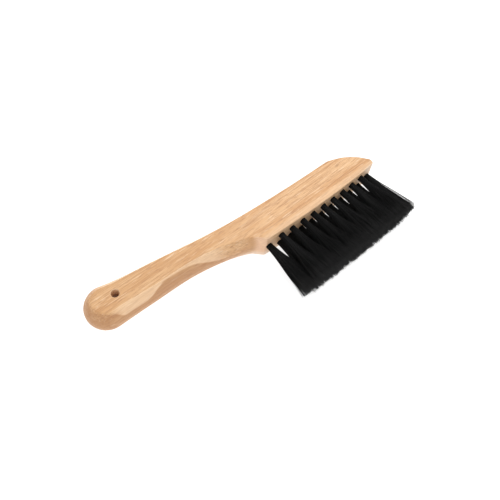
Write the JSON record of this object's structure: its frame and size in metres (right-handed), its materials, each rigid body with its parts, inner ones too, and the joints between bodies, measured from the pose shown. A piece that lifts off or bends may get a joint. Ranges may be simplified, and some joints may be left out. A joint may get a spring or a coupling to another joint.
{
  "type": "neck duster brush",
  "caption": "Flat wooden hand brush with a rounded grip, a hanging hole and rows of long trimmed dark bristle tufts along one narrow edge.",
  "frame": {"origin": "centre of the overall box in X and Y, at the underside of the wooden body", "axes": "+X from the grip end to the nose, +Z from the flat underside to the flat top, -Y the way the bristles point"},
  "size_m": [0.21, 0.0793, 0.02],
  "materials": {
    "wood": "satin",
    "bristle": "satin",
    "anchor_wire": "satin"
  },
  "bodies": {
    "root": {"wooden_body": "wood", "bristle_tuft_near": "bristle", "tuft_anchor_near": "anchor_wire", "bristle_tuft_upper_1": "bristle", "tuft_anchor_upper_1": "anchor_wire", "bristle_tuft_lower_1": "bristle", "tuft_anchor_lower_1": "anchor_wire", "bristle_tuft_upper_2": "bristle", "tuft_anchor_upper_2": "anchor_wire", "bristle_tuft_lower_2": "bristle", "tuft_anchor_lower_2": "anchor_wire", "bristle_tuft_upper_3": "bristle", "tuft_anchor_upper_3": "anchor_wire", "bristle_tuft_lower_3": "bristle", "tuft_anchor_lower_3": "anchor_wire", "bristle_tuft_upper_4": "bristle", "tuft_anchor_upper_4": "anchor_wire", "bristle_tuft_lower_4": "bristle", "tuft_anchor_lower_4": "anchor_wire", "bristle_tuft_upper_5": "bristle", "tuft_anchor_upper_5": "anchor_wire", "bristle_tuft_lower_5": "bristle", "tuft_anchor_lower_5": "anchor_wire", "bristle_tuft_upper_6": "bristle", "tuft_anchor_upper_6": "anchor_wire", "bristle_tuft_lower_6": "bristle", "tuft_anchor_lower_6": "anchor_wire", "bristle_tuft_upper_7": "bristle", "tuft_anchor_upper_7": "anchor_wire", "bristle_tuft_lower_7": "bristle", "tuft_anchor_lower_7": "anchor_wire", "bristle_tuft_upper_8": "bristle", "tuft_anchor_upper_8": "anchor_wire", "bristle_tuft_lower_8": "bristle", "tuft_anchor_lower_8": "anchor_wire", "bristle_tuft_upper_9": "bristle", "tuft_anchor_upper_9": "anchor_wire", "bristle_tuft_lower_9": "bristle", "tuft_anchor_lower_9": "anchor_wire", "bristle_tuft_far": "bristle", "tuft_anchor_far": "anchor_wire"}
  },
  "joints": []
}
